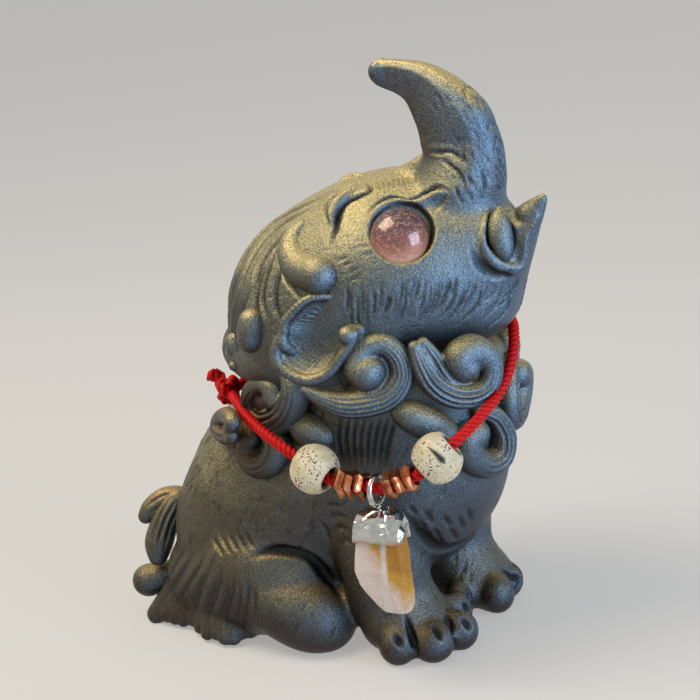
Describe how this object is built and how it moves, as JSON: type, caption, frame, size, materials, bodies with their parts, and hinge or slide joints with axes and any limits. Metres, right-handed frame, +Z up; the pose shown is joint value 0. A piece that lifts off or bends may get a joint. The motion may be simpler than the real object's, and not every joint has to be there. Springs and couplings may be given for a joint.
{
  "type": "baku figurine",
  "caption": "Seated baku figurine of modelled clay with a raised trunk, curled mane and glass eyes, wearing a corded necklace with beads and a hanging crystal pendant.",
  "frame": {"origin": "middle of the figure on the surface it sits on", "axes": "+Z up, -Y the way it faces, -X its right side"},
  "size_m": [0.0512, 0.0811, 0.0961],
  "materials": {
    "modelled_clay": "hard-baked polymer clay with incised fur, dark gunmetal mica sheen, gold on raised tops and copper-brown in shade",
    "cabochon_glass": "polished domed glass with a dense copper glitter",
    "inner_aluminium": "plain wire and crumpled foil",
    "twisted_cord": "red twisted cord with a visible lay",
    "speckled_ceramic": "cream glaze with brown speckles and dark bores",
    "copper": "bright cut copper with facets",
    "silver_wire": "bright silver wire",
    "plated_cap": "bright crumpled silver plating",
    "crystal_point": "raw quartz, frosted pinkish white and clear amber"
  },
  "bodies": {
    "figure": {"torso": "modelled_clay", "head": "modelled_clay", "trunk": "modelled_clay", "lower_jaw": "modelled_clay", "tusk_left": "modelled_clay", "tusk_right": "modelled_clay", "eyelid_left": "modelled_clay", "eyelid_right": "modelled_clay", "ear_left": "modelled_clay", "ear_right": "modelled_clay", "brow_ridge_left": "modelled_clay", "brow_ridge_right": "modelled_clay", "brow_curl_left": "modelled_clay", "brow_curl_right": "modelled_clay", "cheek_curl_left": "modelled_clay", "cheek_curl_right": "modelled_clay", "jaw_curl_left": "modelled_clay", "jaw_curl_right": "modelled_clay", "chest_curl_left": "modelled_clay", "chest_curl_right": "modelled_clay", "front_lock_left": "modelled_clay", "front_lock_right": "modelled_clay", "side_lock_left": "modelled_clay", "side_lock_right": "modelled_clay", "rear_curl_left": "modelled_clay", "rear_curl_right": "modelled_clay", "rear_lock_left": "modelled_clay", "rear_lock_right": "modelled_clay", "nape_knob_left": "modelled_clay", "nape_knob_right": "modelled_clay", "nape_lock_left": "modelled_clay", "nape_lock_right": "modelled_clay", "front_leg_left": "modelled_clay", "front_leg_right": "modelled_clay", "haunch_left": "modelled_clay", "haunch_right": "modelled_clay", "hind_foot_left": "modelled_clay", "hind_foot_right": "modelled_clay", "tail_curl": "modelled_clay", "tail_lock": "modelled_clay", "tail_ball": "modelled_clay", "eye_left": "cabochon_glass", "eye_right": "cabochon_glass", "armature_wire": "inner_aluminium", "foil_core": "inner_aluminium", "cord": "twisted_cord", "knot": "twisted_cord"},
    "pendant": {"pendant_ring": "silver_wire", "pendant_cap": "plated_cap", "crystal": "crystal_point"},
    "bead_rear": {"bead_rear": "speckled_ceramic"},
    "chip_1": {"chip_1": "copper"},
    "chip_2": {"chip_2": "copper"},
    "chip_3": {"chip_3": "copper"},
    "chip_4": {"chip_4": "copper"},
    "chip_5": {"chip_5": "copper"},
    "chip_6": {"chip_6": "copper"},
    "bead_front": {"bead_front": "speckled_ceramic"}
  },
  "joints": [
    {"name": "bead_rear_spin", "type": "hinge", "parent": "figure", "child": "bead_rear", "pos_m": [-0.0226, -0.0074, 0.0349], "axis": [-0.0565, -0.904, -0.4238], "continuous": true},
    {"name": "chip_1_spin", "type": "hinge", "parent": "figure", "child": "chip_1", "pos_m": [-0.0228, -0.0144, 0.0331], "axis": [0, -0.9994, -0.0333], "continuous": true},
    {"name": "chip_2_spin", "type": "hinge", "parent": "figure", "child": "chip_2", "pos_m": [-0.0228, -0.0144, 0.0331], "axis": [0, -0.9994, -0.0333], "continuous": true},
    {"name": "chip_3_spin", "type": "hinge", "parent": "figure", "child": "chip_3", "pos_m": [-0.0228, -0.0144, 0.0331], "axis": [0, -0.9994, -0.0333], "continuous": true},
    {"name": "chip_4_spin", "type": "hinge", "parent": "figure", "child": "chip_4", "pos_m": [-0.0219, -0.0227, 0.034], "axis": [0.2362, -0.9112, 0.3375], "continuous": true},
    {"name": "chip_5_spin", "type": "hinge", "parent": "figure", "child": "chip_5", "pos_m": [-0.0219, -0.0227, 0.034], "axis": [0.2362, -0.9112, 0.3375], "continuous": true},
    {"name": "chip_6_spin", "type": "hinge", "parent": "figure", "child": "chip_6", "pos_m": [-0.0219, -0.0227, 0.034], "axis": [0.2362, -0.9112, 0.3375], "continuous": true},
    {"name": "bead_front_spin", "type": "hinge", "parent": "figure", "child": "bead_front", "pos_m": [-0.0192, -0.0282, 0.0374], "axis": [0.4739, -0.6516, 0.5923], "continuous": true},
    {"name": "pendant_swing", "type": "hinge", "parent": "figure", "child": "pendant", "pos_m": [-0.0227, -0.0187, 0.033], "axis": [-0.0767, 0.9971, 0], "range_deg": [-18, 120]}
  ]
}
